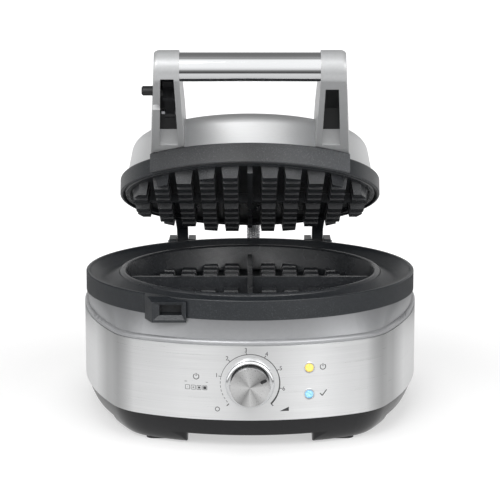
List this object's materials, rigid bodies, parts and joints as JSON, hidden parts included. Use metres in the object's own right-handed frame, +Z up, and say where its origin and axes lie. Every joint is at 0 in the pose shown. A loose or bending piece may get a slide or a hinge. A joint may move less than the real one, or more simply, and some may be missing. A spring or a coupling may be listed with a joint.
{
  "type": "waffle maker",
  "caption": "Round electric waffle maker with a hinged domed lid, bridge handle, storage latch, overflow ring and a front browning dial.",
  "frame": {"origin": "centre of the bounding box on the plane that the feet stand on, on the axis of the round plates", "axes": "+Z up, -Y is the front with the dial and the handle, +X to the right as seen from the front"},
  "size_m": [0.2774, 0.3466, 0.3078],
  "materials": {
    "gloss_black": "glossy moulded plastic",
    "rubber": "matt",
    "steel_band": "fine brushed",
    "black_plastic": "fine texture",
    "silver_shoulder": "satin silver paint",
    "dark_ring": "fine spark-eroded texture",
    "nonstick_plate": "non-stick coated die casting",
    "element": "oxidised steel sheath",
    "sheet_aluminium": "bright sheet",
    "screws": "zinc plated",
    "zinc": "zinc plated",
    "sensor": "satin",
    "white_nylon": "moulded nylon",
    "circuit_board": "solder mask",
    "components": "moulded",
    "amber_lens": "tinted clear plastic",
    "blue_lens": "tinted clear plastic",
    "chrome_trim": "satin chrome",
    "spun_aluminium": "spun",
    "steel_dome": "fine brushed",
    "satin_arm": "satin silver",
    "chrome_tube": "polished",
    "braid": "woven wire braid"
  },
  "bodies": {
    "base": {"base_tray": "gloss_black", "rubber_feet": "rubber", "base_shell": "steel_band", "rear_panel": "black_plastic", "rear_bumpers": "rubber", "cord_gland": "rubber", "top_shell": "silver_shoulder", "moat_ring": "dark_ring", "lower_plate": "nonstick_plate", "lower_heater": "element", "lower_reflector": "sheet_aluminium", "plate_screws": "screws", "standoffs": "zinc", "standoff_screws": "screws", "lower_thermostat": "sensor", "thermal_fuse": "sensor", "terminal_block": "white_nylon", "control_board": "circuit_board", "board_components": "components", "led_board": "circuit_board", "power_lens": "amber_lens", "ready_lens": "blue_lens", "lens_bezels": "chrome_trim", "dial_bezel": "chrome_trim", "selector_switch": "components", "hinge_brackets": "dark_ring", "hinge_pins": "zinc", "bracket_screws": "screws", "lid_conduit": "braid", "base_ferrule": "zinc"},
    "lid": {"hinge_arms": "dark_ring", "lid_rim": "dark_ring", "lid_dome": "steel_dome", "upper_plate": "nonstick_plate", "upper_heater": "element", "upper_reflector": "sheet_aluminium", "upper_screws": "screws", "upper_thermostat": "sensor", "handle_band": "dark_ring", "handle_arm_left": "satin_arm", "handle_arm_right": "satin_arm", "arm_core_left": "black_plastic", "arm_core_right": "black_plastic", "handle_tube": "chrome_tube", "tie_rod": "zinc", "handle_screws": "screws", "latch_pin": "zinc", "lid_ferrule": "zinc"},
    "latch": {"latch_lever": "black_plastic", "latch_knob": "black_plastic"},
    "selector": {"selector_shaft": "zinc", "knob_body": "black_plastic", "knob_cap": "spun_aluminium", "knob_pointer": "black_plastic"}
  },
  "joints": [
    {"name": "lid_hinge", "type": "hinge", "parent": "base", "child": "lid", "pos_m": [0, 0.145, 0.109], "axis": [-1, 0, 0], "range_deg": [-22.6, 76], "deforming": ["lid_conduit"]},
    {"name": "latch_swing", "type": "hinge", "parent": "lid", "child": "latch", "pos_m": [-0.0605, -0.09624, 0.25545], "axis": [1, 0, 0], "range_deg": [0, 101]},
    {"name": "selector_turn", "type": "hinge", "parent": "base", "child": "selector", "pos_m": [0, -0.14, 0.053], "axis": [0, 1, 0], "range_deg": [-199, 71]}
  ]
}
